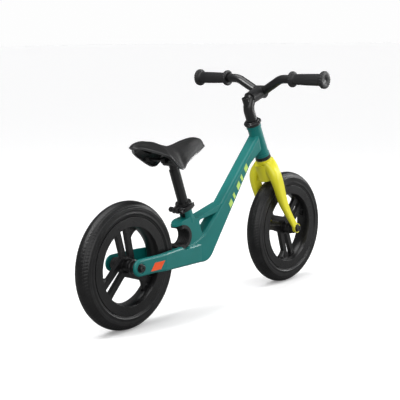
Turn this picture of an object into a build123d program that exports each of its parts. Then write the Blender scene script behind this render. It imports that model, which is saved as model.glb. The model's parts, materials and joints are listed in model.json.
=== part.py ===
from build123d import *
import os
from math import atan2, copysign, cos, degrees, radians, sin, sqrt

# Child's balance bike. Millimetres: X forward, Y to the rider's left, Z up.
# The origin is on the floor, midway between the two axles.

# ---- driving dimensions ----
WHEELBASE = 614
TYRE_R = 150                # outer radius of the foam tyres
TYRE_HALF = 22.5            # half the tyre's width
RIM_R = 114                 # where the rim's flange meets the tyre's side
RIM_BORE_R = 87             # inside of the rim, at its crown
RIM_HALF = 20.5
HEAD_ANGLE = 25             # steering axis, back from the vertical
SEAT_ANGLE = 20             # seat post, back from the vertical
STAY_OUT = 50               # outer face of the rear stays, from the middle
STAY_IN = 43                # inner face of the rear dropouts
LEG_OUT = 46                # outer face of the fork legs
LEG_IN = 38                 # inner face of the fork legs at the axle
BEAM_HALF = 17              # half the width of the down tube
EDGE_ROUND = 6              # rounding of the stays' outer edges
BEAM_ROUND = 7              # rounding of the down tube's long edges
BAR_R = 11.1                # handlebar tube
POST_R = 12.7               # seat post tube
RUN = 0.05                  # radial running clearance of turning and sliding pairs
GAP = 0.3                   # clearance between bodies that move past each other

# ---- wheels ----
FRONT_SPOKE_DEG = 49        # direction of the first double spoke
REAR_SPOKE_DEG = 103.5
SPOKES = 3
SPOKE_LEAN = 8              # how far each double spoke passes beside the hub's centre
BAR_WIDTH = 13.5            # one bar of a double spoke
BAR_SPREAD_HUB = 11.5       # bar's centre line from the pair's middle, at the hub
BAR_SPREAD_RIM = 16
SPOKE_HALF = 5.5            # half the spokes' thickness
WINDOW_ROUND = 4
HUB_R = 18
HUB_HALF = 36.5
BEARING_R = 13
BEARING_W = 8
AXLE_R = 5
NUT_R = 8

# ---- headset and stem, as distances up the steering axis from the front axle ----
CROWN_TOP = 217
HEAD_BOTTOM = 226
HEAD_TOP = 318
COVER_TOP = 331
HEAD_R = 18
HEAD_BORE_R = 15.5
STEERER_R = 14.3
QUILL_R = 11.1
STEM_R = 14.3
STEM_BEND_R = 30
STEM_RISE = 388             # height of the stem's forward run
BAR_REACH = 64              # handlebar centre ahead of the steering axis
BAR_RISE = 380
BOOM_R = 16.5               # stem's forward run
QUILL_END = 268

# ---- handlebar ----
BAR_LIFT = 34               # the grips above the middle of the bar
BAR_BACK = 5                # the grips behind the middle of the bar
GRIP_START = 102
GRIP_END = 206
GRIP_R = 15.3

# ---- seat: distances up the post's axis from SEAT_BASE ----
SEAT_BASE = (-96, 243)
SOCKET_R = 16
SOCKET_BOTTOM = -106
SOCKET_TOP = 27
POST_BOTTOM = -74
POST_TOP = 134
COLLAR_BOTTOM = 14
COLLAR_TOP = 30
COLLAR_R = 20.5
QR_BACK = 27                # quick release pin behind the post's axis
QR_UP = 22
LEVER_Y = -17
FOOT_CENTRE = (-126, 190)   # middle of the round cut behind the seat mast
FOOT_R = 29
PAD_IN = 21                 # inner radius of the rubber liner
TREAD_LOW = 165             # flat tread of the footrest
TREAD_HALF = 24
MAST_HALF = 15.5            # half the width of the seat mast and its strut

AXLE_X = WHEELBASE / 2
TILT, RAKE = sin(radians(HEAD_ANGLE)), cos(radians(HEAD_ANGLE))
LEAN, RISE = sin(radians(SEAT_ANGLE)), cos(radians(SEAT_ANGLE))
SIDE = Plane(origin=(0, 0, 0), x_dir=(1, 0, 0), z_dir=(0, -1, 0))
FRONT_HUB = Plane(origin=(AXLE_X, 0, TYRE_R), x_dir=(1, 0, 0), z_dir=(0, -1, 0))
REAR_HUB = Plane(origin=(-AXLE_X, 0, TYRE_R), x_dir=(1, 0, 0), z_dir=(0, -1, 0))
STEER = Plane(origin=(AXLE_X, 0, TYRE_R), x_dir=(RAKE, 0, TILT), z_dir=(-TILT, 0, RAKE))
SEAT = Plane(origin=(SEAT_BASE[0], 0, SEAT_BASE[1]), x_dir=(RISE, 0, LEAN), z_dir=(-LEAN, 0, RISE))
BAR_X = AXLE_X + BAR_REACH * RAKE - BAR_RISE * TILT
BAR_LOW = TYRE_R + BAR_REACH * TILT + BAR_RISE * RAKE
BAR_HIGH = BAR_LOW + BAR_LIFT
BOOM_DROP = degrees(atan2(STEM_RISE - BAR_RISE, BAR_REACH))
CLAMP_UP = POST_TOP + 4     # centre of the saddle clamp on the post's axis
CHEEK_IN = 10.5 + GAP
CHEEK_OUT = 23
SHELL_GAP = 2.5             # between the saddle's padding and its shell
SADDLE = [                  # place, half width, edge height, crown height, thickness
    (-277, 5, 416, 419, 4), (-259, 18, 416, 427, 12), (-240, 37, 408, 430, 19),
    (-215, 57, 395, 426, 22), (-190, 58, 378, 418, 20), (-160, 50, 361, 412.5, 16),
    (-130, 42, 376, 414, 16), (-95, 33, 388, 423, 17), (-60, 20, 396, 424, 14), (-34, 8, 401, 410, 5),
]
RAIL_Y = 17
RAIL_UP = 7
CLAMP_BOLT_R = 3.4
CLAMP_X = SEAT_BASE[0] - CLAMP_UP * LEAN
CLAMP_Z = SEAT_BASE[1] + CLAMP_UP * RISE


def rod(radius, low, high):
    """A round bar along local Z."""
    return Pos(0, 0, low) * Cylinder(radius, high - low, align=(Align.CENTER, Align.CENTER, Align.MIN))


def ring(outer, inner, low, high):
    """A round sleeve along local Z."""
    return rod(outer, low, high) - rod(inner, low - 1, high + 1)


def cross_rod(radius, x, z, low, high):
    """A round bar along Y at a place in the side view."""
    return Pos(x, 0, z) * Rot(-90, 0, 0) * rod(radius, low, high)


def cross_ring(outer, inner, x, z, low, high):
    """A round sleeve along Y at a place in the side view."""
    return Pos(x, 0, z) * Rot(-90, 0, 0) * ring(outer, inner, low, high)


def pair(solid):
    """A solid and its mirror image across the bike's middle plane."""
    return [solid, mirror(solid, about=Plane.XZ)]


def outline(points, radii):
    """A closed outline with one corner radius for each point."""
    edges = FilletPolyline(*points, radius=radii, close=True)
    return make_face(edges)


def slab(face, half):
    """A side view face as a solid, half its width to each side of the middle plane."""
    return extrude(SIDE * face, half, both=True)


def keep(node, shape):
    """Write one sub-part, as one solid or as a group of separate solids."""
    solids = shape if isinstance(shape, list) else [shape]
    solids = [one for part in solids for one in part.solids()]
    whole = solids[0] if len(solids) == 1 else Compound(children=solids)
    whole.label = node
    export_step(whole, f"parts/{node}.step")


# ---- wheels ----
def spoke_windows():
    """The openings between the spoke bars, seen along the axle."""
    bars = []
    for side in (-1, 1):
        near = -SPOKE_LEAN + side * BAR_SPREAD_HUB
        far = -SPOKE_LEAN + side * BAR_SPREAD_RIM
        half = BAR_WIDTH / 2
        corners = [(0, near - half), (RIM_R, far - half), (RIM_R, far + half), (0, near + half)]
        bars.append(make_face(Polyline(*corners, close=True)))
    plate = Circle(RIM_BORE_R + 1) - Circle(HUB_R + 1.5)
    for turn in range(SPOKES):
        for bar in bars:
            plate -= Rot(0, 0, 360 / SPOKES * turn) * bar
    return plate.faces()


def rim(hub):
    """Rim with a crowned inside and a channel for the tyre's foot."""
    seat, width = RIM_R - 10, RIM_HALF
    crown = ThreePointArc((92, -width), (RIM_BORE_R, 0), (92, width))
    sides = Polyline(
        (92, width), (RIM_R, width), (RIM_R, width - 2.5), (seat, width - 5),
        (seat, 5 - width), (RIM_R, 2.5 - width), (RIM_R, -width), (92, -width),
    )
    return hub * revolve(Plane.XZ * make_face(crown + sides), Axis.Z)


def spoke_casting(hub, spoke_deg):
    """Three double spokes and the hub barrel in one casting."""
    spider = extrude(Circle(RIM_BORE_R + 4), SPOKE_HALF, both=True)
    for window in spoke_windows():
        rounded = offset(offset(window, -WINDOW_ROUND), WINDOW_ROUND)
        spider -= extrude(rounded, SPOKE_HALF + 1, both=True)
    barrel = Polyline(
        (9, -HUB_HALF), (14.2, -HUB_HALF), (15.4, 1.2 - HUB_HALF), (15.4, -27), (17, -26), (17, -20),
        (HUB_R, -18), (HUB_R, 18), (17, 20), (17, 26), (15.4, 27), (15.4, HUB_HALF - 1.2),
        (14.2, HUB_HALF), (9, HUB_HALF), close=True,
    )
    inside = make_face(
        Polyline((92, RIM_HALF), (0, RIM_HALF), (0, -RIM_HALF), (92, -RIM_HALF))
        + ThreePointArc((92, -RIM_HALF), (RIM_BORE_R - 0.02, 0), (92, RIM_HALF))
    )
    spider &= revolve(Plane.XZ * inside, Axis.Z)
    body = spider + revolve(Plane.XZ * make_face(barrel), Axis.Z)
    body -= rod(11, -HUB_HALF - 1, HUB_HALF + 1)
    for low in (-HUB_HALF - 1, HUB_HALF - BEARING_W - 2):
        body -= rod(BEARING_R, low, low + BEARING_W + 3)
    return hub * Rot(0, 0, spoke_deg) * body


def tyre(hub):
    """Foam tyre with a rounded tread and a foot that fills the rim's channel."""
    foot = RIM_R - 10 + RUN
    left = ThreePointArc((RIM_R + 1, -19.5), (RIM_R + 14, -TYRE_HALF), (RIM_R + 25, -18.6))
    tread = ThreePointArc((RIM_R + 25, -18.6), (TYRE_R, 0), (RIM_R + 25, 18.6))
    right = ThreePointArc((RIM_R + 25, 18.6), (RIM_R + 14, TYRE_HALF), (RIM_R + 1, 19.5))
    base = Polyline(
        (RIM_R + 1, 19.5), (RIM_R + RUN, 17.9), (foot, 15.4), (foot, -15.4),
        (RIM_R + RUN, -17.9), (RIM_R + 1, -19.5),
    )
    return hub * revolve(Plane.XZ * make_face(left + tread + right + base), Axis.Z)


def wheel_bearings(hub):
    """Two ball bearings, one in each end of the hub."""
    inner = AXLE_R + RUN
    low = HUB_HALF - 1 - BEARING_W
    groove = Torus((BEARING_R + inner) / 2, 1.2)
    one = ring(BEARING_R - RUN, inner, low, low + BEARING_W) - Pos(0, 0, low + BEARING_W) * groove
    return [hub * one, hub * mirror(one, about=Plane.XY)]


def hub_caps(hub):
    """Thin dust caps that close the hub round the axle's spacers."""
    cap = ring(12.5, 9, HUB_HALF - 0.9, HUB_HALF + 0.4)
    return [hub * cap, hub * mirror(cap, about=Plane.XY)]


def wheel_axle(x, outer):
    """A plain axle with threaded ends under its nuts."""
    return cross_rod(AXLE_R, x, TYRE_R, 3 - outer, outer - 3)


def axle_spacers(x, inner):
    """Collars between the bearings and the dropouts."""
    collar = cross_ring(7.5, AXLE_R + RUN, x, TYRE_R, HUB_HALF - 1 + GAP, inner)
    return pair(collar)


def axle_nuts(x, face, outer):
    """Washer-faced cap nuts with a hexagon socket in each end."""
    nut = rod(NUT_R + 2.5, face, face + 1.4)
    nut += rod(NUT_R, face + 1.4, outer)
    nut = chamfer(nut.edges().sort_by(Axis.Z)[-1], 1)
    nut -= rod(AXLE_R + RUN, face - 1, outer - 2.9)
    nut -= Pos(0, 0, outer - 2.2) * extrude(RegularPolygon(3, 6), 4)
    placed = Pos(x, 0, TYRE_R) * Rot(-90, 0, 0) * nut
    return pair(placed)


# ---- frame ----
def down_tube():
    """Down tube and bottom corner, tapering towards the head tube."""
    points = [
        (-150, 122), (-26, 112.8), (142, 339), (190, 371), (176, 413),
        (20, 249), (-46, 187), (-97, 167), (-150, 167),
    ]
    beam = slab(outline(points, [0, 42, 60, 0, 0, 150, 60, 40, 0]), BEAM_HALF)
    long_edges = beam.faces().filter_by(Axis.Y).edges()
    return fillet(long_edges, BEAM_ROUND)


def rear_stays():
    """One stay: it spreads from the bottom corner to its rear dropout, with a round end."""
    end, kink = AXLE_X + 20, 222
    side = [
        (-end, 130), (-end, 170.5), (-150, 170.5), (-100, 164), (-58, 164), (-58, 115.2), (-258, 130),
    ]
    side_face = outline(side, [19.9, 19.9, 0, 0, 0, 0, 0])
    plan = [
        (-58, 16.9), (-kink, STAY_OUT), (-end, STAY_OUT), (-end, STAY_IN), (-238, STAY_IN),
        (-230, STAY_IN - 2.5), (-180, 31), (-150, 25), (-150, 0), (-58, 0),
    ]
    plan_face = outline(plan, [0, 0, 0, 0, 0, 0, 0, 16, 0, 0])
    stay = slab(side_face, 60) & extrude(Pos(0, 0, 100) * plan_face, 100)
    slope = (STAY_OUT - 16.9) / (kink - 58)
    rims = []
    for edge in stay.edges():
        at, along = edge.center(), edge.tangent_at(0.5)
        outer = min(STAY_OUT, STAY_OUT - slope * (at.X + kink))
        if abs(at.Y - outer) < 1 and abs(along.X) > 0.3 and at.X < -60:
            rims.append(edge)
    return fillet(rims, EDGE_ROUND)


def seat_mast():
    """Mast with the round cut behind it, its pointed lip and the strut to the down tube."""
    points = [
        (-142, 221), (-122, 230), (-84, 236), (-76, 227), (24, 253), (4, 233),
        (-66, 222), (-57, 196), (-46, 178), (-60, 150), (-142, 150),
    ]
    mast = slab(outline(points, [3, 10, 4, 8, 0, 0, 6, 30, 12, 0, 0]), MAST_HALF)
    plan = [(-142, -MAST_HALF), (-142, MAST_HALF), (40, MAST_HALF), (40, -MAST_HALF)]
    mast &= extrude(outline(plan, [MAST_HALF - 1, MAST_HALF - 1, 0, 0]), 300)
    mouth = outline([(-170, 168), (-170, 216), (-142, 214), (-126, 206), (-126, 168)], [0] * 5)
    return mast - slab(mouth, 40)


def frame():
    """The cast frame with its bores, dropouts and seat socket."""
    stay = rear_stays()
    body = down_tube() + stay + mirror(stay, about=Plane.XZ)
    pocket = Pos(-138, 0, TREAD_LOW + 20) * Box(40, 2 * TREAD_HALF + 0.2, 40)
    body = body + seat_mast() - slab(Pos(*FOOT_CENTRE) * Circle(FOOT_R), 40) - pocket
    body += STEER * rod(HEAD_R, HEAD_BOTTOM, HEAD_TOP)
    body += STEER * rod(HEAD_R + 1.5, HEAD_BOTTOM, HEAD_BOTTOM + 7)
    body += STEER * rod(HEAD_R + 1.5, HEAD_TOP - 7, HEAD_TOP)
    body += SEAT * rod(SOCKET_R, -24, SOCKET_TOP)
    body -= STEER * rod(HEAD_BORE_R, HEAD_BOTTOM - 1, HEAD_TOP + 1)
    for seat in (HEAD_BOTTOM, HEAD_TOP - 12):
        body -= STEER * rod(HEAD_R - 1.5, seat, seat + 12)
    body -= SEAT * rod(POST_R + RUN, SOCKET_BOTTOM, SOCKET_TOP + 1)
    window = Pos(-15, 0, 11) * Box(20, 17, 34)
    body -= SEAT * window
    body -= cross_rod(AXLE_R + RUN, -AXLE_X, TYRE_R, -60, 60)
    for recess in pair(cross_rod(13, -AXLE_X, TYRE_R, STAY_OUT - 2, STAY_OUT + 1)):
        body -= recess
    return body


def footrest_pad():
    """Ribbed rubber liner of the round cut, with a flat tread between the stays."""
    curve = Pos(*FOOT_CENTRE) * (Circle(FOOT_R - 0.1) - Circle(PAD_IN))
    behind = Pos(-148, 190) * Rectangle(34, 80)
    liner = slab(curve - behind, MAST_HALF + 3.5)
    tread = Pos(-136, 0, TREAD_LOW + 2.5) * Box(27, 2 * TREAD_HALF, 5)
    tread = fillet(tread.edges().filter_by(Axis.Z), 8)
    pad = liner + tread
    for y in range(-15, 16, 6):
        rib = Pos(*FOOT_CENTRE) * (Circle(PAD_IN + 0.5) - Circle(PAD_IN - 1.5)) - behind
        pad += Pos(0, y, 0) * slab(rib, 1.3)
    return pad


def headset_cup(low, high, lip_low, lip_high):
    """A pressed cup with the lip that shows outside the head tube."""
    cup = ring(HEAD_R - 1.55, HEAD_R - 3, low, high) + ring(HEAD_R + 2, HEAD_R - 3, lip_low, lip_high)
    return STEER * cup


def seat_collar():
    """Split clamp round the seat socket, with two ears for the quick release pin."""
    collar = ring(COLLAR_R, SOCKET_R + 0.1, COLLAR_BOTTOM, SOCKET_TOP + 0.2)
    collar += ring(COLLAR_R - 1, POST_R + GAP, SOCKET_TOP + 0.2, COLLAR_TOP)
    ears = Pos(-24, 0, QR_UP) * Box(20, 19, 12)
    collar += ears - rod(SOCKET_R + 0.1, 0, 40)
    collar -= Pos(-26, 0, QR_UP) * Box(28, 3, 20)
    collar -= Pos(-QR_BACK, 0, QR_UP) * Rot(90, 0, 0) * Cylinder(3.1, 60)
    collar -= rod(POST_R + GAP, 0, 40)
    return SEAT * collar


def across_seat(solid, low):
    """Lay a turned piece along Y on the quick release pin's line."""
    return SEAT * Pos(-QR_BACK, 0, QR_UP) * Rot(-90, 0, 0) * Pos(0, 0, low) * solid


def qr_skewer():
    """Quick release pin, with the barrel that the cam lever turns on."""
    pin = across_seat(rod(2.5, 0, 38), -17)
    barrel = SEAT * Pos(-QR_BACK, LEVER_Y, QR_UP) * rod(3, -6.5, 6.5)
    return pin + barrel


def qr_nut():
    """Knurled adjusting nut at the far end of the pin."""
    nut = rod(4.5, 0, 4) + rod(6.5, 4, 11)
    nut = chamfer(nut.edges().sort_by(Axis.Z)[-1], 1)
    nut -= rod(2.5 + RUN, -1, 20)
    for step in range(16):
        nut -= Rot(0, 0, 360 / 16 * step) * Pos(6.8, 0, 8.5) * Cylinder(0.8, 9)
    return across_seat(nut, 11)


def qr_lever():
    """Cam lever, closed round the collar's near side."""
    cam = Pos(0, 0, -6) * extrude(Ellipse(6.5, 5.5), 12)
    path = [(-1, -5.2), (8, -10), (24, -12), (38, -8), (40, -4.5), (25, -7.5), (12, -5.5), (3, -2)]
    blade = Pos(0, 0, -5) * extrude(outline(path, [0, 12, 20, 1.5, 1.5, 20, 12, 0]), 10)
    lever = cam + blade
    lever -= rod(3 + RUN, -10, 10)
    lever -= Pos(0, 4, 0) * Box(30, 13, 5.6) + Pos(-6.2, -3, 0) * Box(17.6, 22, 5.6)
    return SEAT * Pos(-QR_BACK, LEVER_Y, QR_UP) * lever


def stay_decals():
    """Slanted colour panels on the outer faces of the stays."""
    shape = make_face(Polyline((-276, 137), (-262, 155), (-228, 155), (-242, 137), close=True))
    panel = Pos(0, -STAY_OUT, 0) * extrude(SIDE * shape, 0.4)
    return pair(panel)


def tube_stripes():
    """Slanted bars on both sides of the down tube."""
    bars = []
    along = (cos(radians(53)), sin(radians(53)))
    for step, length in enumerate((16, 9, 16, 9, 16)):
        start = 26 * step
        x, z = 52 + start * along[0], 239 + start * along[1]
        corner = [(0, -5), (length, -5), (length + 5, 8), (5, 8)]
        bar = Pos(x, z) * Rot(0, 0, 53) * make_face(Polyline(*corner, close=True))
        bars += pair(Pos(0, -BEAM_HALF, 0) * extrude(SIDE * bar, 0.4))
    return bars


# ---- fork ----
def fork():
    """Cast crown and two legs that taper down to the axle eyes."""
    stations = [
        (211, 0, 21, -20, 19), (196, 6, 35, -23, 14), (177, 16, 45, -28, 7), (150, 26, 47, -31, 3),
        (120, 27, 46.5, -31, 0), (90, 28.5, LEG_OUT, -29, -2.5), (50, 33, LEG_OUT, -22, -1),
        (18, LEG_IN - 1, LEG_OUT, -15, 5), (-4, LEG_IN, LEG_OUT, -9.5, 9.5),
    ]
    sections = []
    for up, inner, outer, back, front in stations:
        centre = Pos((back + front) / 2, (inner + outer) / 2, up)
        corner = 0.42 * min(outer - inner, front - back)
        sections.append(centre * RectangleRounded(front - back, outer - inner, corner))
    leg = loft(sections)
    leg += Rot(-90, 0, 0) * rod(13, LEG_IN, LEG_OUT)
    crown = Pos(-6, 0, 0) * rod(23, 160, 206) + rod(21, 200, CROWN_TOP)
    body = leg + mirror(leg, about=Plane.XZ) + crown
    body -= Rot(-90, 0, 0) * rod(TYRE_R + 7, -26, 26)
    return STEER * body


def fork_bores(body):
    """Open the crown for the steerer and the leg ends for the axle."""
    body -= STEER * rod(STEERER_R + RUN, 176, CROWN_TOP + 5)
    body -= cross_rod(AXLE_R + RUN, AXLE_X, TYRE_R, -60, 60)
    for recess in pair(cross_rod(NUT_R + 3, AXLE_X, TYRE_R, LEG_OUT - 1, LEG_OUT + 6)):
        body -= recess
    return body


def steerer():
    """Steerer tube that the quill slides in."""
    return STEER * ring(STEERER_R, QUILL_R + RUN, 177, COVER_TOP - 2)


def headset_bearings():
    """Two bearing rings on the steerer, turning inside the cups."""
    lower = ring(HEAD_R - 3 - RUN, STEERER_R + 0.02, HEAD_BOTTOM + 2, HEAD_BOTTOM + 8)
    upper = ring(HEAD_R - 3 - RUN, STEERER_R + 0.02, HEAD_TOP - 8, HEAD_TOP - 2)
    return [STEER * lower, STEER * upper]


def crown_race():
    """Seal and race between the fork's crown and the lower cup."""
    race = ring(HEAD_R + 2.5, STEERER_R + 0.05, CROWN_TOP, CROWN_TOP + 2.5)
    return STEER * (race + ring(HEAD_R + 1, STEERER_R + 0.05, CROWN_TOP + 2.5, CROWN_TOP + 4))


def top_cover():
    """Top nut over the upper bearing."""
    cover = rod(23, HEAD_TOP + 3.4, COVER_TOP - 4) + rod(19, COVER_TOP - 4, COVER_TOP)
    cover = chamfer(cover.edges().filter_by(GeomType.CIRCLE), 0.8)
    cover -= rod(STEERER_R + 0.05, HEAD_TOP, COVER_TOP - 2)
    cover -= rod(QUILL_R + RUN, HEAD_TOP, COVER_TOP + 1)
    return STEER * cover


# ---- handlebar ----
def bar_path():
    """Handlebar centre line: the ends stand higher and a little behind the middle."""
    points = [
        (-BAR_BACK, GRIP_END - 4, BAR_HIGH), (-BAR_BACK, 69, BAR_HIGH), (0, 8, BAR_LOW),
        (0, -8, BAR_LOW), (-BAR_BACK, -69, BAR_HIGH), (-BAR_BACK, 4 - GRIP_END, BAR_HIGH),
    ]
    return Pos(BAR_X, 0, 0) * FilletPolyline(*points, radius=[45, 22, 22, 45])


def swept_tube(path, outer, inner):
    """A round tube along a path."""
    start = Plane(origin=path @ 0, z_dir=path % 0)
    return sweep(start * (Circle(outer) - Circle(inner)), path=path)


def swept_bar(radius):
    """A solid bar along the handlebar's centre line."""
    path = bar_path()
    return sweep(Plane(origin=path @ 0, z_dir=path % 0) * Circle(radius), path=path)


def handlebar():
    """Bent handlebar tube."""
    return swept_tube(bar_path(), BAR_R, BAR_R - 1.6)


def quill():
    """Tube that slides in the steerer and carries the stem."""
    return STEER * ring(QUILL_R, 4.2, QUILL_END, COVER_TOP + 0.7)


def stem():
    """Stem: a tube up the steering axis that bends forward to the handlebar."""
    points = [(0, 0, COVER_TOP + 0.8), (0, 0, STEM_RISE), (BAR_REACH, 0, BAR_RISE)]
    neck = swept_tube(FilletPolyline(*points, radius=STEM_BEND_R), STEM_R, 0.001 + STEM_R / 2)
    neck += rod(9.5, 376, 396)
    body = neck + rod(QUILL_R, COVER_TOP + 0.8, COVER_TOP + 6)
    body = body - rod(4.2, COVER_TOP, 400) - rod(7, 388, 400)
    boom = Pos(0, 0, STEM_RISE) * Rot(0, 90 + BOOM_DROP, 0) * rod(BOOM_R, 15, BAR_REACH)
    body += boom + Pos(BAR_REACH, 0, BAR_RISE) * Rot(90, 0, 0) * Cylinder(BOOM_R, 28)
    return STEER * body - swept_bar(BAR_R + 0.05)


def expander_bolt():
    """Long bolt that pulls the wedge up into the quill."""
    bolt = rod(4, QUILL_END - 28, 388.2) + rod(6.5, 388.1, 394)
    bolt -= Pos(0, 0, 390) * extrude(RegularPolygon(3, 6), 6)
    return STEER * bolt


def expander_wedge():
    """Cone at the quill's foot that locks the stem in the steerer."""
    wedge = rod(QUILL_R - 0.2, QUILL_END - 24, QUILL_END - 0.4)
    wedge = chamfer(wedge.edges().sort_by(Axis.Z)[-1], 4)
    return STEER * (wedge - rod(4.05, QUILL_END - 40, QUILL_END + 5))


def grip():
    """Left grip: a ribbed sleeve with a safety flange at each end."""
    start, end = GRIP_START, GRIP_END
    profile = [
        (0, start), (20.5, start), (20.5, start + 7), (GRIP_R - 1.8, start + 9),
        (GRIP_R, end - 12), (22, end - 9), (22, end), (0, end),
    ]
    face = outline(profile, [0, 3, 3, 3, 3, 4, 3, 0])
    sleeve = revolve(Plane.XZ * face, Axis.Z)
    taper = degrees(atan2(1.8, end - start - 21))
    for step in range(18):
        groove = Rot(0, taper, 0) * Cylinder(1.1, end - start - 36)
        sleeve -= Rot(0, 0, 20 * step) * Pos(GRIP_R - 0.4, 0, (start + end) / 2 - 1.5) * groove
    sleeve -= rod(BAR_R + RUN, start - 1, end - 3.8)
    return Pos(BAR_X - BAR_BACK, 0, BAR_HIGH) * Rot(-90, 0, 0) * sleeve


# ---- seat ----
def seat_post():
    """Seat post with the round head that the saddle clamp grips."""
    post = rod(POST_R, POST_BOTTOM, POST_TOP - 16) - rod(POST_R - 2, POST_BOTTOM - 1, POST_TOP - 30)
    post += rod(POST_R - 2.5, POST_TOP - 17, POST_TOP)
    head = Pos(0, 0, CLAMP_UP) * Rot(90, 0, 0) * Cylinder(10.5, 21)
    bore = Pos(0, 0, CLAMP_UP) * Rot(90, 0, 0) * Cylinder(CLAMP_BOLT_R + RUN, 40)
    return SEAT * (post + head - bore)


def post_plug():
    """Plastic plug in the foot of the post."""
    plug = rod(POST_R - 2.05, POST_BOTTOM - 1, POST_BOTTOM + 12)
    return SEAT * (plug + rod(POST_R - 0.5, POST_BOTTOM - 2, POST_BOTTOM))


def clamp_bolt():
    """Cross bolt of the saddle clamp, with a nut on each end."""
    bolt = cross_rod(CLAMP_BOLT_R, CLAMP_X, CLAMP_Z, -CHEEK_OUT - 4, CHEEK_OUT + 4)
    nut = Pos(0, 0, CHEEK_OUT + 0.1) * extrude(RegularPolygon(7, 6), 5)
    nut = Pos(CLAMP_X, 0, CLAMP_Z) * Rot(-90, 0, 0) * nut
    return bolt + nut + mirror(nut, about=Plane.XZ)


def clamp_cheeks():
    """Cheeks that hold the saddle's rails against the post's head."""
    width = CHEEK_OUT - CHEEK_IN
    cheek = cross_rod(11, CLAMP_X, CLAMP_Z, CHEEK_IN, CHEEK_OUT)
    cheek += Pos(CLAMP_X, CHEEK_IN + width / 2, CLAMP_Z + 5.5) * Box(30, width, 11)
    cheek -= cross_rod(CLAMP_BOLT_R + RUN, CLAMP_X, CLAMP_Z, 0, 40)
    cheek -= Pos(CLAMP_X, RAIL_Y, CLAMP_Z + RAIL_UP) * Rot(0, 90, 0) * Cylinder(3.55, 60)
    return pair(cheek)


def saddle_rails():
    """Two steel rails under the saddle's shell."""
    z = CLAMP_Z + RAIL_UP
    points = [
        (CLAMP_X - 58, RAIL_Y + 8, z + 3), (CLAMP_X - 34, RAIL_Y, z), (CLAMP_X + 34, RAIL_Y, z),
        (CLAMP_X + 76, 9, z + 14),
    ]
    path = FilletPolyline(*points, radius=[30, 40])
    rail = sweep(Plane(origin=path @ 0, z_dir=path % 0) * Circle(3.5), path=path)
    return pair(rail)


def saddle():
    """Padded saddle: high tail, wide drooping wings and a narrow raised nose."""
    sections = []
    for x, half, edge, crown, thick in SADDLE:
        top = ThreePointArc((x, -half, edge), (x, 0, crown), (x, half, edge))
        under = ThreePointArc((x, half, edge), (x, 0, crown - thick), (x, -half, edge))
        sections.append(Face(Wire([top.edge(), under.edge()])))
    return loft(sections)


def underside(half, edge, low, y):
    """Height of the padding's underside at a distance from the middle."""
    sag = low - edge
    radius = (half**2 + sag**2) / (2 * sag)
    return low - radius + copysign(sqrt(radius**2 - y**2), radius)


def saddle_shell():
    """Moulded shell that carries the padding."""
    sections = []
    for x, half, edge, crown, thick in SADDLE[1:]:
        low, y = crown - thick, half - 6
        rim_z = underside(half, edge, low, y) - SHELL_GAP
        low -= SHELL_GAP
        top = ThreePointArc((x, -y, rim_z), (x, 0, low), (x, y, rim_z))
        under = ThreePointArc((x, y, rim_z - 3), (x, 0, low - 3.5), (x, -y, rim_z - 3))
        sides = Line((x, y, rim_z), (x, y, rim_z - 3)), Line((x, -y, rim_z - 3), (x, -y, rim_z))
        sections.append(Face(Wire([top.edge(), sides[0].edge(), under.edge(), sides[1].edge()])))
    return loft(sections)


def rail_sockets():
    """Four blocks under the shell, bored for the rails' ends."""
    left_rail = saddle_rails()[0]
    rear = Pos(CLAMP_X - 52, 24, CLAMP_Z + 8.8) * Box(14, 11, 10)
    front = Pos(CLAMP_X + 70, 9.5, CLAMP_Z + 20) * Box(14, 9, 10)
    return pair(rear - left_rail) + pair(front - left_rail)


NODES = {
    "frame": frame(),
    "footrest_pad": footrest_pad(),
    "headset_lower_cup": headset_cup(HEAD_BOTTOM, HEAD_BOTTOM + 11, HEAD_BOTTOM - 4, HEAD_BOTTOM),
    "headset_upper_cup": headset_cup(HEAD_TOP - 11, HEAD_TOP, HEAD_TOP, HEAD_TOP + 3),
    "rear_axle": wheel_axle(-AXLE_X, STAY_OUT + 6),
    "rear_axle_nuts": axle_nuts(-AXLE_X, STAY_OUT - 2, STAY_OUT + 6.6),
    "rear_axle_spacers": axle_spacers(-AXLE_X, STAY_IN),
    "seat_collar": seat_collar(),
    "quick_release_pin": qr_skewer(),
    "quick_release_nut": qr_nut(),
    "quick_release_lever": qr_lever(),
    "stay_decals": stay_decals(),
    "tube_stripes": tube_stripes(),
    "fork": fork_bores(fork()),
    "steerer": steerer(),
    "crown_race": crown_race(),
    "headset_bearings": headset_bearings(),
    "headset_top_cover": top_cover(),
    "front_axle": wheel_axle(AXLE_X, LEG_OUT + 4),
    "front_axle_nuts": axle_nuts(AXLE_X, LEG_OUT - 1, LEG_OUT + 5.6),
    "front_axle_spacers": axle_spacers(AXLE_X, LEG_IN),
    "stem": stem(),
    "stem_quill": quill(),
    "handlebar": handlebar(),
    "expander_bolt": expander_bolt(),
    "expander_wedge": expander_wedge(),
    "grip_left": grip(),
    "grip_right": mirror(grip(), about=Plane.XZ),
    "front_rim": rim(FRONT_HUB),
    "front_spokes": spoke_casting(FRONT_HUB, FRONT_SPOKE_DEG),
    "front_tyre": tyre(FRONT_HUB),
    "front_wheel_bearings": wheel_bearings(FRONT_HUB),
    "front_hub_caps": hub_caps(FRONT_HUB),
    "rear_rim": rim(REAR_HUB),
    "rear_spokes": spoke_casting(REAR_HUB, REAR_SPOKE_DEG),
    "rear_tyre": tyre(REAR_HUB),
    "rear_wheel_bearings": wheel_bearings(REAR_HUB),
    "rear_hub_caps": hub_caps(REAR_HUB),
    "seat_post": seat_post(),
    "seat_post_plug": post_plug(),
    "clamp_bolt": clamp_bolt(),
    "clamp_cheeks": clamp_cheeks(),
    "saddle_rails": saddle_rails(),
    "rail_sockets": rail_sockets(),
    "saddle_shell": saddle_shell(),
    "saddle": saddle(),
}

os.makedirs("parts", exist_ok=True)
for node, shape in NODES.items():
    keep(node, shape)
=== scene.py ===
import json
import math

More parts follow.
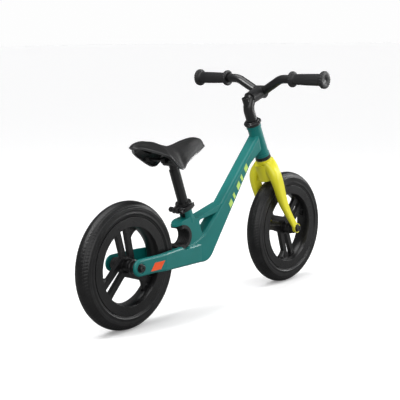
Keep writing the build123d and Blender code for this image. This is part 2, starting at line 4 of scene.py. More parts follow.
import bmesh
import bpy
from mathutils import Matrix, Vector


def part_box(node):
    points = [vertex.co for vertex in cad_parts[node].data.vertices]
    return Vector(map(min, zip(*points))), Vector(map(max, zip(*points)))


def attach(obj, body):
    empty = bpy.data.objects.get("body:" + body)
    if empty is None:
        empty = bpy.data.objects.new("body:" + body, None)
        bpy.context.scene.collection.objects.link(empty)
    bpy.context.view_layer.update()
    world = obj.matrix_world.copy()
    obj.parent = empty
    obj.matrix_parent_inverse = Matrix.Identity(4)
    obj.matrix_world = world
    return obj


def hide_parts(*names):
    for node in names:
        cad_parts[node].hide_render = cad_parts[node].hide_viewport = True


# Looks of the balance bike. Shapes are given in millimetres and built in metres, in the part's frame:
# X to the front wheel, Y to the rider's left, Z up, from the floor midway between the wheels.

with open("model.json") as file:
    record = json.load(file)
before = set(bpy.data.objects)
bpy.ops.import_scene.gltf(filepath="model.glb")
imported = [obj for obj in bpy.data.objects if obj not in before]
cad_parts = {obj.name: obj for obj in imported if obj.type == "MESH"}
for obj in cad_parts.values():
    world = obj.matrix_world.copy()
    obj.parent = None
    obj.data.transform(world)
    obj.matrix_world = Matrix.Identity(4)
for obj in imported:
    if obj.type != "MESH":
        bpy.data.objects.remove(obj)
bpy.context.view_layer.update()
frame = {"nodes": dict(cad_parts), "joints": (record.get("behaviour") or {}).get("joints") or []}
nodes = frame["nodes"]
joints = {joint["name"]: joint for joint in frame["joints"]}

MM = 0.001


def in_mm(place):
    """A place or size of the frame in millimetres."""
    return round(place / MM, 2)


AXLE_X = in_mm(joints["front_wheel_spin"]["pos_m"][0])
AXLE_Z = in_mm(joints["front_wheel_spin"]["pos_m"][2])
TYRE_R = AXLE_Z                         # the wheels stand on the floor
rim_low, rim_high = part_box("front_rim")
RIM_R = in_mm(rim_high.x - rim_low.x) / 2
FRONT_SPOKE_DEG, REAR_SPOKE_DEG = 49, 103.5   # first double spoke's turn from straight ahead

grip_low, grip_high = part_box("grip_left")
GRIP_X = in_mm((grip_low.x + grip_high.x) / 2)
GRIP_Z = in_mm((grip_low.z + grip_high.z) / 2)
GRIP_START, GRIP_END = in_mm(grip_low.y), in_mm(grip_high.y)
GRIP_R = 15.3                           # the sleeve at its thick outer end
BAR_R = 11.1                            # the bar under the grips


# ---- materials ----
EDGE_SAMPLES = 6
EDGE_WEAR_AND_HIGHLIGHT_SCALE = 160          # breaks up the lighter edges, wear and painted highlight, in patches per metre
SCUFF_SCALE = 420
SCUFF_STRETCH = 0.25      # scuffs run four times as far along the bike as across it


def link(tree, out, socket):
    """Join an output to an input."""
    tree.links.new(out, socket)


def noise(tree, place, scale, detail=3, rough=0.55):
    """A noise texture's value over the surface."""
    made = tree.nodes.new("ShaderNodeTexNoise")
    made.inputs["Scale"].default_value = scale
    made.inputs["Detail"].default_value = detail
    made.inputs["Roughness"].default_value = rough
    link(tree, place, made.inputs["Vector"])
    return made.outputs["Fac"]


def mapped(tree, value, low, high, to_low, to_high):
    """A value brought from one range to another."""
    made = tree.nodes.new("ShaderNodeMapRange")
    made.inputs["From Min"].default_value = low
    made.inputs["From Max"].default_value = high
    made.inputs["To Min"].default_value = to_low
    made.inputs["To Max"].default_value = to_high
    link(tree, value, made.inputs["Value"])
    return made.outputs["Result"]


def math_node(tree, kind, a, b):
    """Two values combined; b may be a number."""
    made = tree.nodes.new("ShaderNodeMath")
    made.operation = kind
    link(tree, a, made.inputs[0])
    if isinstance(b, (int, float)):
        made.inputs[1].default_value = b
    else:
        link(tree, b, made.inputs[1])
    return made.outputs["Value"]


def mixed(tree, factor, first, second):
    """Two colours mixed by a value; each colour is a tuple or an output."""
    made = tree.nodes.new("ShaderNodeMix")
    made.data_type = "RGBA"
    link(tree, factor, made.inputs[0])
    for socket, colour in ((made.inputs[6], first), (made.inputs[7], second)):
        if isinstance(colour, tuple):
            socket.default_value = (*colour, 1)
        else:
            link(tree, colour, socket)
    return made.outputs[2]


def bumped(tree, height, distance, normal):
    """A normal tilted by a height."""
    made = tree.nodes.new("ShaderNodeBump")
    made.inputs["Strength"].default_value = 1.0
    made.inputs["Distance"].default_value = distance
    link(tree, height, made.inputs["Height"])
    link(tree, normal, made.inputs["Normal"])
    return made.outputs["Normal"]


def edge_mask(tree, radius):
    """The normal of a rounded edge, and a value that is 1 on edges and 0 on flats."""
    bevel = tree.nodes.new("ShaderNodeBevel")
    bevel.samples = EDGE_SAMPLES
    bevel.inputs["Radius"].default_value = radius
    geometry = tree.nodes.new("ShaderNodeNewGeometry")
    dot = tree.nodes.new("ShaderNodeVectorMath")
    dot.operation = "DOT_PRODUCT"
    link(tree, bevel.outputs["Normal"], dot.inputs[0])
    link(tree, geometry.outputs["Normal"], dot.inputs[1])
    return bevel.outputs["Normal"], mapped(tree, dot.outputs["Value"], 0.995, 0.9, 0, 1)


def surface(name, dark, light, rough, spread=0.08, metal=0.0, patch=14, grain=700, grain_depth=0.03,
            ripple=90, ripple_depth=0.0, edge=0.7, edge_wear_and_highlight=None, coat=0.0, coat_rough=0.2, specular=0.5,
            scuff=0.0):
    """A finish: two tones in soft patches, uneven gloss, grain, a slow ripple and lighter edges, part wear
    and part painted highlight.

    Scales are in features per metre, and depths and the edge's radius are in millimetres.
    """
    material = bpy.data.materials.new(name)
    material.use_nodes = True
    tree = material.node_tree
    shader = tree.nodes["Principled BSDF"]
    place = tree.nodes.new("ShaderNodeTexCoord").outputs["Object"]
    soft = noise(tree, place, patch, 4)
    fine = noise(tree, place, grain, 2)
    blotch = mapped(tree, soft, 0.35, 0.65, 0, 1)
    colour = mixed(tree, blotch, dark, light)
    normal, edges = edge_mask(tree, edge * MM)
    # Edges mixed towards a lighter colour: wear, and a painted highlight along each edge.
    if edge_wear_and_highlight:
        broken = mapped(tree, noise(tree, place, EDGE_WEAR_AND_HIGHLIGHT_SCALE, 3), 0.42, 0.62, 0.15, 1)
        colour = mixed(tree, math_node(tree, "MULTIPLY", edges, broken), colour, edge_wear_and_highlight)
    link(tree, colour, shader.inputs["Base Color"])
    gloss = mapped(tree, math_node(tree, "ADD", soft, fine), 0.6, 1.4, rough - spread, rough + spread)
    if scuff:
        streak = tree.nodes.new("ShaderNodeMapping")
        streak.inputs["Scale"].default_value = (SCUFF_STRETCH, 1, 1)
        link(tree, place, streak.inputs["Vector"])
        marks = mapped(tree, noise(tree, streak.outputs["Vector"], SCUFF_SCALE, 6, 0.7), 0.6, 0.72, 0, scuff)
        gloss = math_node(tree, "ADD", gloss, marks)
    link(tree, gloss, shader.inputs["Roughness"])
    if ripple_depth:
        slow = noise(tree, place, ripple, 2)
        normal = bumped(tree, slow, ripple_depth * MM, normal)
    normal = bumped(tree, fine, grain_depth * MM, normal)
    link(tree, normal, shader.inputs["Normal"])
    shader.inputs["Metallic"].default_value = metal
    shader.inputs["Coat Weight"].default_value = coat
    shader.inputs["Coat Roughness"].default_value = coat_rough
    shader.inputs["Specular IOR Level"].default_value = specular
    return material


# The frame's lighter teal along its edges is a painted highlight, broken up in patches.
FRAME_PAINT = surface(
    "teal_powder_coat", (0.002, 0.172, 0.158), (0.004, 0.192, 0.178), 0.40, 0.06, grain=1100,
    grain_depth=0.012, ripple=260, ripple_depth=0.035, edge=1.2, edge_wear_and_highlight=(0.03, 0.26, 0.23), coat=0.2,
    coat_rough=0.2, specular=0.35, scuff=0.12,
)
FORK_PAINT = surface(
    "lime_powder_coat", (0.84, 0.78, 0.016), (0.90, 0.84, 0.03), 0.38, 0.06, grain=1100, grain_depth=0.012,
    ripple=260, ripple_depth=0.035, edge=1.2, edge_wear_and_highlight=(0.85, 0.85, 0.2), coat=0.35, coat_rough=0.22, scuff=0.12,
)
BLACK_METAL = surface(
    "black_satin_paint", (0.006, 0.006, 0.0065), (0.010, 0.010, 0.0105), 0.30, 0.07, grain=1600,
    grain_depth=0.010, ripple=300, ripple_depth=0.02, edge=0.6, edge_wear_and_highlight=(0.07, 0.07, 0.075), coat=0.3,
    coat_rough=0.15, scuff=0.15,
)
STEEL = surface(
    "zinc_plated_steel", (0.40, 0.41, 0.43), (0.56, 0.57, 0.59), 0.30, 0.08, metal=1.0, grain=1900,
    grain_depth=0.012, edge=0.3, edge_wear_and_highlight=(0.7, 0.7, 0.7), scuff=0.2,
)
WHEEL_PLASTIC = surface(
    "moulded_nylon", (0.004, 0.004, 0.0043), (0.008, 0.008, 0.0083), 0.30, 0.08, grain=1400, grain_depth=0.03,
    ripple=220, ripple_depth=0.03, edge=0.9, edge_wear_and_highlight=(0.045, 0.045, 0.047), scuff=0.15,
)
TYRE_FOAM = surface(
    "foam_tyre_skin", (0.006, 0.006, 0.0063), (0.013, 0.013, 0.0135), 0.34, 0.10, patch=26, grain=1300,
    grain_depth=0.06, ripple=170, ripple_depth=0.10, edge=0.4, edge_wear_and_highlight=(0.045, 0.045, 0.045), scuff=0.12,
    specular=0.38,
)
GRIP_RUBBER = surface(
    "grip_rubber", (0.009, 0.009, 0.010), (0.015, 0.015, 0.016), 0.50, 0.08, grain=1500, grain_depth=0.05,
    edge=0.5, edge_wear_and_highlight=(0.035, 0.035, 0.036), scuff=0.1,
)
PAD_RUBBER = surface(
    "footrest_rubber", (0.006, 0.006, 0.0065), (0.012, 0.012, 0.0125), 0.55, 0.08, grain=1300,
    grain_depth=0.05, edge=0.5, edge_wear_and_highlight=(0.03, 0.03, 0.031),
)
SADDLE_BASE = surface(
    "saddle_base_plastic", (0.004, 0.004, 0.0043), (0.007, 0.007, 0.0075), 0.24, 0.08, grain=1400,
    grain_depth=0.03, edge=0.5, edge_wear_and_highlight=(0.05, 0.05, 0.052),
)
# The piping's grey, lighter than the saddle's other blacks, is a painted highlight along the rim, with
# lighter painted edges too.
PIPING_PAINTED_HIGHLIGHT = surface(
    "saddle_piping", (0.03, 0.03, 0.031), (0.05, 0.05, 0.052), 0.20, 0.06, grain=1400, grain_depth=0.02,
    edge=0.5, edge_wear_and_highlight=(0.12, 0.12, 0.12), coat=0.6, coat_rough=0.12,
)
DECAL_ORANGE = surface(
    "orange_film", (1.0, 0.10, 0.018), (1.0, 0.13, 0.03), 0.30, 0.05, grain=1500, grain_depth=0.006,
    edge=0.15, edge_wear_and_highlight=(1.0, 0.35, 0.2),
)
DECAL_LIME = surface(
    "lime_film", (0.56, 0.82, 0.16), (0.64, 0.88, 0.24), 0.30, 0.05, grain=1500, grain_depth=0.006,
    edge=0.15, edge_wear_and_highlight=(0.8, 0.95, 0.5),
)


PEBBLE_SCALE = 900
PEBBLE_DEPTH = 0.09 * MM


def saddle_skin():
    """Black skin with a fine pebbled grain and a soft sheen."""
    material = surface(
        "saddle_skin", (0.010, 0.010, 0.0103), (0.017, 0.017, 0.0174), 0.46, 0.07, patch=20, grain=1500,
        grain_depth=0.03, edge=0.5, edge_wear_and_highlight=(0.05, 0.05, 0.05), scuff=0.08, specular=0.22,
    )
    tree = material.node_tree
    shader = tree.nodes["Principled BSDF"]
    place = tree.nodes.new("ShaderNodeTexCoord").outputs["Object"]
    cells = tree.nodes.new("ShaderNodeTexVoronoi")
    cells.inputs["Scale"].default_value = PEBBLE_SCALE
    link(tree, place, cells.inputs["Vector"])
    before = shader.inputs["Normal"].links[0].from_socket
    normal = bumped(tree, mapped(tree, cells.outputs["Distance"], 0, 0.6, 0, 1), PEBBLE_DEPTH, before)
    link(tree, normal, shader.inputs["Normal"])
    return material


SADDLE_SKIN = saddle_skin()

NODE_FINISH = {
    FRAME_PAINT: ["frame"],
    FORK_PAINT: ["fork"],
    BLACK_METAL: [
        "headset_lower_cup", "headset_upper_cup", "headset_top_cover", "crown_race", "rear_axle_nuts",
        "front_axle_nuts", "seat_collar", "quick_release_nut", "quick_release_lever", "steerer", "stem",
        "stem_quill", "handlebar", "expander_bolt", "seat_post", "clamp_cheeks", "clamp_bolt", "saddle_rails",
    ],
    STEEL: [
        "rear_axle", "front_axle", "rear_axle_spacers", "front_axle_spacers", "quick_release_pin",
        "headset_bearings", "expander_wedge", "front_wheel_bearings", "rear_wheel_bearings",
    ],
    WHEEL_PLASTIC: [
        "front_rim", "rear_rim", "front_spokes", "rear_spokes", "front_hub_caps", "rear_hub_caps",
        "seat_post_plug", "rail_sockets",
    ],
    PAD_RUBBER: ["footrest_pad"],
    DECAL_ORANGE: ["stay_decals"],
    DECAL_LIME: ["tube_stripes"],
    TYRE_FOAM: ["front_tyre", "rear_tyre"],
    GRIP_RUBBER: ["grip_left", "grip_right"],
    SADDLE_SKIN: ["saddle"],
    SADDLE_BASE: ["saddle_shell"],
}
for finish, names in NODE_FINISH.items():
    for name in names:
        nodes[name].data.materials.clear()
        nodes[name].data.materials.append(finish)


# ---- mesh helpers ----
def mesh_piece(name, points, faces, material, body):
    """A smooth mesh from points in millimetres, riding on a body."""
    mesh = bpy.data.meshes.new(name)
    mesh.from_pydata([Vector(p) * MM for p in points], [], faces)
    made = bmesh.new()
    made.from_mesh(mesh)
    bmesh.ops.recalc_face_normals(made, faces=made.faces)
    made.to_mesh(mesh)
    made.free()
    mesh.polygons.foreach_set("use_smooth", [True] * len(mesh.polygons))
    piece = bpy.data.objects.new(name, mesh)
    bpy.context.scene.collection.objects.link(piece)
    mesh.materials.append(material)
    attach(piece, body)
    return piece


def grid_faces(rows, columns, wrap_rows, start=0):
    """Quads between rows that each close on themselves, as the stack of rows may too."""
    faces = []
    for i in range(rows if wrap_rows else rows - 1):
        for j in range(columns):
            a, b = i * columns, (i + 1) % rows * columns
            k = (j + 1) % columns
            faces.append((start + a + j, start + b + j, start + b + k, start + a + k))
    return faces


def add_solid(points, faces, sections):
    """Add a closed solid that runs through sections of equal length."""
    base, size = len(points), len(sections[0])
    for section in sections:
        points.extend(section)
    faces.extend(grid_faces(len(sections), size, False, base))
    for first in (base, len(points) - size):
        faces.append(tuple(first + i for i in range(size)))


def full_turn(count):
    """Equal steps round a circle, in radians."""
    return [2 * math.pi * i / count for i in range(count)]


def arc(first, middle, last, count):
    """Points on the circle through three points, without the last one."""
    (ax, ay), (bx, by), (cx, cy) = first, middle, last
    d = 2 * (ax * (by - cy) + bx * (cy - ay) + cx * (ay - by))
    ux = ((ax**2 + ay**2) * (by - cy) + (bx**2 + by**2) * (cy - ay) + (cx**2 + cy**2) * (ay - by)) / d
    uy = ((ax**2 + ay**2) * (cx - bx) + (bx**2 + by**2) * (ax - cx) + (cx**2 + cy**2) * (bx - ax)) / d
    radius = math.hypot(ax - ux, ay - uy)
    start, end = math.atan2(ay - uy, ax - ux), math.atan2(cy - uy, cx - ux)
    turn = (end - start + math.pi) % (2 * math.pi) - math.pi
    angles = [start + turn * i / count for i in range(count)]
    return [(ux + radius * math.cos(t), uy + radius * math.sin(t)) for t in angles]


def dip(distance, half):
    """1 in the middle of a groove, 0 beyond its half width."""
    t = min(abs(distance) / half, 1)
    return (1 - t * t) ** 2


# ---- tyres ----
TREAD_PITCHES = 110       # tread blocks round the tyre
TYRE_TURNS = 8 * TREAD_PITCHES
TREAD_LINES = (6.2, 13.4)  # grooves round the tread, from the tyre's middle
TREAD_DEPTH = 0.6
TREAD_FROM = RIM_R + 23.5
TYRE_MIDDLE = RIM_R + 12
TYRE_FOOT = 104.2         # where the tyre sits in the rim
SIDE_SHAPE = (            # radius, half width and height: shoulder ridge, line by the rim, hollow side
    (RIM_R + 21.2, 2.4, 1.3),
    (RIM_R + 4.2, 1.6, -0.9),
    (RIM_R + 12.5, 6, -1.1),
)


def tyre_profile():
    """The tyre's outline as radius and distance across, tread outside."""
    foot_corner, side_middle, shoulder = (RIM_R + 1, 19.5), (RIM_R + 14, 22.4), (RIM_R + 25, 18.6)

    def other(point):
        """The same point on the other side."""
        return point[0], -point[1]

    left = arc(other(foot_corner), other(side_middle), other(shoulder), 22)
    tread = arc(other(shoulder), (TYRE_R - 0.1, 0), shoulder, 44)
    right = arc(shoulder, side_middle, foot_corner, 22)
    foot = [foot_corner, (RIM_R + 0.1, 17.8), (TYRE_FOOT, 15.3), (TYRE_FOOT, -15.3), (RIM_R + 0.1, -17.8)]
    return left + tread + right + foot


def tyre_rise(radius, y, turn):
    """How far the skin stands out from the plain outline."""
    rise = 0.0
    if radius > RIM_R + 2:
        rise = sum(height * dip(radius - middle, half) for middle, half, height in SIDE_SHAPE)
    if radius > TREAD_FROM:
        inner, outer = TREAD_LINES
        slant = abs(y) * 0.06 + (0.5 if abs(y) > inner else 0)
        beat = (turn * TREAD_PITCHES / TYRE_TURNS + slant) % 1 - 0.5
        cross = dip(beat * 2 * math.pi * TYRE_R / TREAD_PITCHES, 1.5)
        ring = max(dip(abs(y) - inner, 1.0), dip(abs(y) - outer, 1.0))
        rise -= TREAD_DEPTH * max(cross, ring)
    return rise


def tyre(name, x, body):
    """Foam tyre with a shoulder ridge, a line by the rim and a fine block tread."""
    profile = tyre_profile()
    count = len(profile)
    points = []
    for turn, angle in enumerate(full_turn(TYRE_TURNS)):
        for i, (radius, y) in enumerate(profile):
            before, after = profile[i - 1], profile[(i + 1) % count]
            along = Vector((after[0] - before[0], after[1] - before[1])).normalized()
            out = Vector((along.y, -along.x))
            if out.dot(Vector((radius - TYRE_MIDDLE, y))) < 0:
                out = -out
            rise = tyre_rise(radius, y, turn)
            r, across = radius + out.x * rise, y + out.y * rise
            points.append((x + r * math.cos(angle), across, AXLE_Z + r * math.sin(angle)))
    faces = grid_faces(TYRE_TURNS, count, True)
    piece = mesh_piece(name, points, faces, TYRE_FOAM, body)
    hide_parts(body.replace("wheel", "tyre"))


tyre("front_tyre_treaded", AXLE_X, "front_wheel")
tyre("rear_tyre_treaded", -AXLE_X, "rear_wheel")


# ---- wheels: webs and studs at the spokes' feet ----
# The web's and the stud's places are distances out along a spoke and aside from it. Their layers give
# the distance across the wheel, with the web's scale or the stud's radius there.
SPOKES = 3
WEB = [(56, -27.5), (62, -34), (66.5, -43), (69, -53.5), (76, -43.5), (82.6, -28.5)]
WEB_LAYERS = ((-4.4, 0.9), (-3.8, 1), (3.8, 1), (4.4, 0.9))
STUD = (78.0, -36.0)
STUD_LAYERS = ((3.5, 3.0), (5.6, 3.0), (6.4, 2.4), (6.6, 1.4), (5.6, 1.2))


def spoke_feet(name, x, spoke_deg, body):
    """A small web with a round stud beside each double spoke, on both faces of the wheel."""
    points, faces = [], []
    middle_u = sum(u for u, v in WEB) / len(WEB)
    middle_v = sum(v for u, v in WEB) / len(WEB)
    for spoke in range(SPOKES):
        turn = math.radians(spoke_deg + 360 / SPOKES * spoke)
        cos_t, sin_t = math.cos(turn), math.sin(turn)

        def place(u, v, y):
            """A point out along this spoke and aside from it."""
            return x + u * cos_t - v * sin_t, y, AXLE_Z + u * sin_t + v * cos_t

        add_solid(points, faces, [
            [place(middle_u + (u - middle_u) * scale, middle_v + (v - middle_v) * scale, y) for u, v in WEB]
            for y, scale in WEB_LAYERS
        ])
        for side in (-1, 1):
            add_solid(points, faces, [
                [place(STUD[0] + r * math.cos(t), STUD[1] + r * math.sin(t), side * y) for t in full_turn(24)]
                for y, r in STUD_LAYERS
            ])
    mesh_piece(name, points, faces, WHEEL_PLASTIC, body)


spoke_feet("front_spoke_feet", AXLE_X, FRONT_SPOKE_DEG, "front_wheel")
spoke_feet("rear_spoke_feet", -AXLE_X, REAR_SPOKE_DEG, "rear_wheel")


# ---- grips ----
GRIP_RIBS = 30
RIB_DEPTH = 1.1
GRIP_TURNS = 8 * GRIP_RIBS
GRIP_ROWS = 36
GRIP_THIN_R = 13.3        # the sleeve at its thin inner end
FLANGE_R = 19.4           # beyond this the collar and the flange have nubs
FLANGE_NUBS = 20
NUB_DEPTH = 0.9
SLEEVE_START = GRIP_START + 12.2
SLEEVE_END = GRIP_END - 14.1
BAND_PITCH = 9            # small raised bands across the ribs
BAND_HEIGHT = 0.25


def grip_outline():
    """The grip's outline as radius and distance along the bar."""
    start, end = GRIP_START + 0.2, GRIP_END - 0.1
    bore = BAR_R + 0.1
    outline = [
        (bore, start), (19.2, start), (20.4, start + 1), (20.4, start + 6.4), (19.2, start + 7.6),
        (14.6, start + 8.8), (GRIP_THIN_R, start + 11),
    ]
    for i in range(GRIP_ROWS + 1):
        t = i / GRIP_ROWS
        radius = GRIP_THIN_R + (GRIP_R - 0.3 - GRIP_THIN_R) * t**0.8 + 0.4 * math.sin(math.pi * t)
        outline.append((radius, SLEEVE_START + (SLEEVE_END - SLEEVE_START) * t))
    outline += [
        (GRIP_R - 0.2, end - 12), (16.4, end - 10.4), (20.8, end - 9.4), (22, end - 8.2), (22, end - 1.4),
        (20.6, end), (12, end), (10, end - 0.8), (0.4, end - 0.8), (0.4, end - 3), (bore, end - 3.4),
    ]
    return outline


def grip_cut(radius, y, angle):
    """How deep the rubber is cut: between the sleeve's ribs, and between the nubs of its ends."""
    if SLEEVE_START < y < SLEEVE_END and radius > 12.5:
        wave = 0.5 + 0.5 * math.cos(angle * GRIP_RIBS)
        fade = min(1, (y - SLEEVE_START) / 3, (SLEEVE_END - y) / 3)
        band = dip((y - GRIP_START - 0.2) % BAND_PITCH - BAND_PITCH / 2, 1.2) if wave > 0.6 else 0
        return RIB_DEPTH * (1 - wave) ** 2 * fade - BAND_HEIGHT * band
    if radius > FLANGE_R:
        return NUB_DEPTH * (0.5 - 0.5 * math.cos(angle * FLANGE_NUBS))
    return 0.0


def grip(name, side, node):
    """Rubber grip with lengthwise ribs, a nubbed collar inside and a nubbed flange outside."""
    outline = grip_outline()
    points = []
    for angle in full_turn(GRIP_TURNS):
        for radius, y in outline:
            r = radius - grip_cut(radius, y, angle)
            points.append((GRIP_X + r * math.cos(angle), side * y, GRIP_Z + r * math.sin(angle)))
    faces = grid_faces(GRIP_TURNS, len(outline), True)
    piece = mesh_piece(name, points, faces, GRIP_RUBBER, "handlebar")
    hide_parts(node)


grip("grip_left_ribbed", 1, "grip_left")
grip("grip_right_ribbed", -1, "grip_right")


# ---- saddle ----
SADDLE = [  # place along the bike, half width, edge height, crown height, thickness; tail to nose
    (-278, 7, 418, 421.5, 6),
    (-273, 14, 418, 426, 9),
    (-261, 20.5, 418.5, 429, 13),
    (-246, 33, 413.5, 430.5, 15),
    (-233, 45.5, 408, 430, 16),
    (-215, 60.5, 398.5, 426.5, 17),
    (-197, 61.5, 385, 420.5, 17),
    (-160, 52.5, 361, 412.5, 14),
    (-136, 47, 376, 413.5, 13),
    (-100, 37, 387, 422, 14),
    (-70, 27, 394, 425.5, 13),
    (-48, 18, 400, 421.5, 10),
    (-40, 14, 401.5, 417.5, 8),
    (-35.5, 9, 403.5, 412, 6),
]
SADDLE_ROWS = 120
SADDLE_HALF_COLUMNS = 40
FULL_THICKNESS = 10             # thinner than this, the pad's details fade
CROWN_POWER = 2.1               # how flat the crown is before it falls to the edge
EDGE_ROLL = 2.2                 # how far the skin turns down at its edge
UNDERSIDE_SHARE = 0.42          # of the thickness, below the crown line
UNDERSIDE_LEAST = 2.4
PRESSED_LINE = (-262, -60)      # from and to, along the bike
PRESSED_LINE_SHARE = 0.66       # of the half width
PRESSED_LINE_DEPTH = 0.8
MIDDLE_GROOVE = (-245, -90)
GROOVE_HALF, GROOVE_DEPTH = 9, 1.3
BASE_SHARE = 0.965              # the base's width against the pad's


def saddle_station(t):
    """The saddle's five measures at a place from 0, its tail, to 1, its nose."""
    spans = len(SADDLE) - 1
    i = min(int(t * spans), spans - 1)
    f = t * spans - i
    p0, p1, p2, p3 = (SADDLE[max(0, min(spans, i + k))] for k in (-1, 0, 1, 2))
    return [
        0.5 * (2 * b + (c - a) * f + (2 * a - 5 * b + 4 * c - d) * f * f + (3 * b - a - 3 * c + d) * f**3)
        for a, b, c, d in zip(p0, p1, p2, p3)
    ]


def saddle_top(station, s):
    """A point of the saddle's upper face, s from -1 at the right edge to 1 at the left."""
    x, half, edge, crown, _ = station
    return Vector((x, half * s, edge + (crown - edge) * (1 - abs(s) ** CROWN_POWER)))


def saddle_normal(station, s):
    """The upward normal of the saddle's cross section."""
    a, b = saddle_top(station, max(-1, s - 0.02)), saddle_top(station, min(1, s + 0.02))
    run = b - a
    return Vector((0, -run.z, run.y)).normalized()


def saddle_pad():
    """Padded skin with a rounded edge, a shallow groove along the middle and two pressed lines."""
    points, faces, sections = [], [], []
    for row in range(SADDLE_ROWS + 1):
        station = saddle_station(row / SADDLE_ROWS)
        x, half, _, _, thick = station
        body = min(1, thick / FULL_THICKNESS)
        section = []
        for i, angle in enumerate(full_turn(2 * SADDLE_HALF_COLUMNS)):
            s = -0.985 * math.cos(angle)
            top, out = saddle_top(station, s), saddle_normal(station, s)
            bulge = abs(math.sin(angle)) ** 0.55
            if i > SADDLE_HALF_COLUMNS:
                offset = -(thick * UNDERSIDE_SHARE * bulge + UNDERSIDE_LEAST) * body
            else:
                offset = EDGE_ROLL * body * (bulge - 1)
                if PRESSED_LINE[0] < x < PRESSED_LINE[1]:
                    offset -= PRESSED_LINE_DEPTH * dip(abs(top.y) - half * PRESSED_LINE_SHARE, 1.5)
                if MIDDLE_GROOVE[0] < x < MIDDLE_GROOVE[1]:
                    offset -= GROOVE_DEPTH * body * dip(top.y, GROOVE_HALF)
            section.append(top + out * offset)
        sections.append(section)
    add_solid(points, faces, sections)
    piece = mesh_piece("saddle_pad", points, faces, SADDLE_SKIN, "saddle")
    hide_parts("saddle")


def saddle_under(station, s, drop):
    """A point below the padding, a drop further down."""
    thick = station[4]
    bulge = max(0.0, 1 - s * s) ** 0.275
    depth = (thick * UNDERSIDE_SHARE * bulge + UNDERSIDE_LEAST) * min(1, thick / FULL_THICKNESS) + drop
    return saddle_top(station, s) - saddle_normal(station, s) * depth


def saddle_rim(s, drop):
    """The closed line round the saddle's edge, at a share of its width and a depth."""
    rows = [saddle_station(row / SADDLE_ROWS) for row in range(SADDLE_ROWS + 1)]
    right = [saddle_under(station, -s, drop) for station in rows]
    left = [saddle_under(station, s, drop) for station in rows]
    return right + left[::-1]


def loop_tube(name, path, radius, material):
    """A thin round welt along a closed line."""
    points, sides = [], 10
    count = len(path)
    for i, place in enumerate(path):
        along = (path[(i + 1) % count] - path[i - 1]).normalized()
        across = along.cross(Vector((0, 0, 1))).normalized()
        up = across.cross(along)
        for t in full_turn(sides):
            points.append(place + across * radius * math.cos(t) + up * radius * math.sin(t))
    mesh_piece(name, points, grid_faces(count, sides, True), material, "saddle")


def saddle_base():
    """Plastic base under the padding with four ribs along it and four across."""
    points, faces = [], []
    columns = 48
    spread = [BASE_SHARE * (-1 + 2 * i / columns) for i in range(columns + 1)]
    sections = []
    for row in range(2, SADDLE_ROWS - 2):
        station = saddle_station(row / SADDLE_ROWS)
        upper = [saddle_under(station, s, 0.3) for s in spread]
        lower = [saddle_under(station, s, 2.2) for s in reversed(spread)]
        sections.append(upper + lower)
    add_solid(points, faces, sections)

    half_rib = 0.012
    for s in (-0.62, -0.3, 0.3, 0.62):
        corners = ((s - half_rib, 2), (s + half_rib, 2), (s + half_rib, 5), (s - half_rib, 5))
        stations = [saddle_station(row / SADDLE_ROWS) for row in range(8, 60)]
        add_solid(points, faces, [
            [saddle_under(station, aside, drop) for aside, drop in corners] for station in stations
        ])
    for row in (14, 22, 30, 38):
        near, far = saddle_station(row / SADDLE_ROWS), saddle_station((row + 0.7) / SADDLE_ROWS)
        corners = ((near, 2), (far, 2), (far, 4.6), (near, 4.6))
        add_solid(points, faces, [
            [saddle_under(station, -0.8 + 1.6 * i / 32, drop) for station, drop in corners] for i in range(33)
        ])
    piece = mesh_piece("saddle_base", points, faces, SADDLE_BASE, "saddle")
    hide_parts("saddle_shell")


saddle_pad()
saddle_base()
# Both welts carry the piping's painted highlight grey.
loop_tube("saddle_piping", saddle_rim(0.99, -1.0), 2.0, PIPING_PAINTED_HIGHLIGHT)
loop_tube("saddle_base_lip", saddle_rim(BASE_SHARE, 3.0), 1.5, PIPING_PAINTED_HIGHLIGHT)


# ---- footrest ----
TREAD_X, TREAD_Z = -136, 170    # middle of the tread, and its top
NUB_PITCH = 4
NUB_LAYERS = ((-0.6, 1.25), (0.2, 1.25), (0.55, 0.8))   # height over the tread, radius


def footrest_nubs():
    """Rows of low round nubs on the flat tread between the stays."""
    points, faces = [], []
    for x in range(TREAD_X - 11, TREAD_X + 13, NUB_PITCH):
        for y in range(-21, 22, NUB_PITCH):
            if ((x - TREAD_X) / 13) ** 2 + (y / 24) ** 2 > 1.6:
                continue
            add_solid(points, faces, [
                [(x + r * math.cos(t), y + r * math.sin(t), TREAD_Z + height) for t in full_turn(10)]
                for height, r in NUB_LAYERS
            ])
    mesh_piece("footrest_nubs", points, faces, PAD_RUBBER, "frame")


footrest_nubs()


# ---- studio, in metres and watts ----
FLOOR_HALF = 60
FLOOR_BOUNCE = (0.22, 0.22, 0.22)     # how little of the light the floor throws back at the bike
FLOOR_GLOW = 0.15


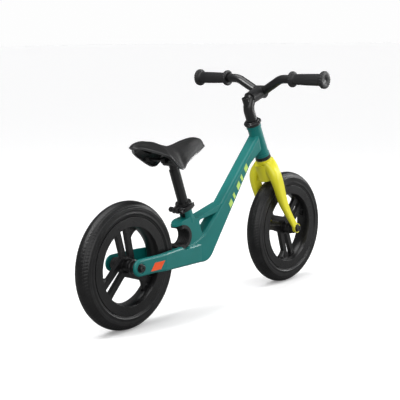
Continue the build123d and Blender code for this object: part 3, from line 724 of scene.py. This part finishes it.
def stage_floor():
    """A wide pale floor that throws little light back up."""
    mesh = bpy.data.meshes.new("floor")
    corners = [(-FLOOR_HALF, -FLOOR_HALF, 0), (FLOOR_HALF, -FLOOR_HALF, 0)]
    corners += [(FLOOR_HALF, FLOOR_HALF, 0), (-FLOOR_HALF, FLOOR_HALF, 0)]
    mesh.from_pydata(corners, [], [(0, 1, 2, 3)])
    floor = bpy.data.objects.new("floor", mesh)
    bpy.context.scene.collection.objects.link(floor)
    material = bpy.data.materials.new("floor_pale")
    material.use_nodes = True
    tree = material.node_tree
    shader = tree.nodes["Principled BSDF"]
    place = tree.nodes.new("ShaderNodeTexCoord").outputs["Object"]
    tone = mixed(tree, noise(tree, place, 3, 3), (0.93, 0.93, 0.93), (0.96, 0.96, 0.96))
    seen = tree.nodes.new("ShaderNodeLightPath").outputs["Is Camera Ray"]
    link(tree, mixed(tree, seen, FLOOR_BOUNCE, tone), shader.inputs["Base Color"])
    shader.inputs["Roughness"].default_value = 0.9
    shader.inputs["Specular IOR Level"].default_value = 0.0
    shader.inputs["Emission Color"].default_value = (1, 1, 1, 1)
    link(tree, math_node(tree, "MULTIPLY", seen, FLOOR_GLOW), shader.inputs["Emission Strength"])
    mesh.materials.append(material)


def soft_box(name, place, target, width, height, power):
    """A rectangular soft box that points at a target."""
    data = bpy.data.lights.new(name, "AREA")
    data.shape = "RECTANGLE"
    data.size, data.size_y = width, height
    data.energy = power
    light = bpy.data.objects.new(name, data)
    light.location = place
    light.rotation_mode = "QUATERNION"
    light.rotation_quaternion = (Vector(target) - Vector(place)).to_track_quat("-Z", "Y")
    bpy.context.scene.collection.objects.link(light)


def soft_sun(name, direction, spread, strength):
    """A wide even light from a direction, the same all over the floor."""
    data = bpy.data.lights.new(name, "SUN")
    data.angle = math.radians(spread)
    data.energy = strength
    light = bpy.data.objects.new(name, data)
    light.rotation_mode = "QUATERNION"
    light.rotation_quaternion = (-Vector(direction)).to_track_quat("-Z", "Y")
    bpy.context.scene.collection.objects.link(light)


def studio_world():
    """White as a backdrop, dim as a light, so that black parts stay black."""
    world = bpy.data.worlds.new("studio")
    bpy.context.scene.world = world
    world.use_nodes = True
    tree = world.node_tree
    background = tree.nodes["Background"]
    seen = tree.nodes.new("ShaderNodeLightPath").outputs["Is Camera Ray"]
    link(tree, mixed(tree, seen, (0.16, 0.16, 0.165), (0.985, 0.985, 0.985)), background.inputs["Color"])
    background.inputs["Strength"].default_value = 1.0


stage_floor()
studio_world()
soft_sun("overhead", (-0.1, 0.1, 1.0), 50, 1.75)
soft_sun("side", (-0.6, -0.78, 0.32), 60, 1.42)
soft_box("strip_side", (1.35, -1.65, 1.0), (0, 0, 0.3), 0.16, 1.8, 15)
soft_box("strip_ahead", (1.9, -0.6, 1.1), (0.1, 0, 0.3), 0.3, 1.5, 22)
soft_box("strip_behind", (-1.7, 0.4, 1.8), (-0.2, 0, 0.2), 0.4, 1.2, 22)

# ---- camera ----
CAMERA_PLACE = Vector((-1.95497, -1.63947, 0.66901))
CAMERA_AZIMUTH, CAMERA_HEIGHT, CAMERA_ROLL = -49.39, 9.05, -0.708    # degrees
SENSOR = 36
FOCAL_SHARE = 2.58975                 # focal length over the sensor's width


def camera():
    """The viewing camera, level apart from a slight roll."""
    azimuth, height = math.radians(CAMERA_AZIMUTH), math.radians(CAMERA_HEIGHT)
    back = Vector((
        math.sin(azimuth) * math.cos(height), -math.cos(azimuth) * math.cos(height), math.sin(height)
    ))
    right = Vector((0, 0, 1)).cross(back).normalized()
    up = back.cross(right)
    roll = math.radians(CAMERA_ROLL)
    rolled_right = right * math.cos(roll) + up * math.sin(roll)
    rolled_up = up * math.cos(roll) - right * math.sin(roll)
    data = bpy.data.cameras.new("camera")
    data.sensor_width = SENSOR
    data.lens = FOCAL_SHARE * SENSOR
    data.clip_start, data.clip_end = 0.05, 200
    made = bpy.data.objects.new("camera", data)
    made.matrix_world = Matrix((
        (rolled_right.x, rolled_up.x, back.x, CAMERA_PLACE.x),
        (rolled_right.y, rolled_up.y, back.y, CAMERA_PLACE.y),
        (rolled_right.z, rolled_up.z, back.z, CAMERA_PLACE.z),
        (0, 0, 0, 1),
    ))
    bpy.context.scene.collection.objects.link(made)
    bpy.context.scene.camera = made


camera()
bpy.context.scene.view_settings.view_transform = "Standard"
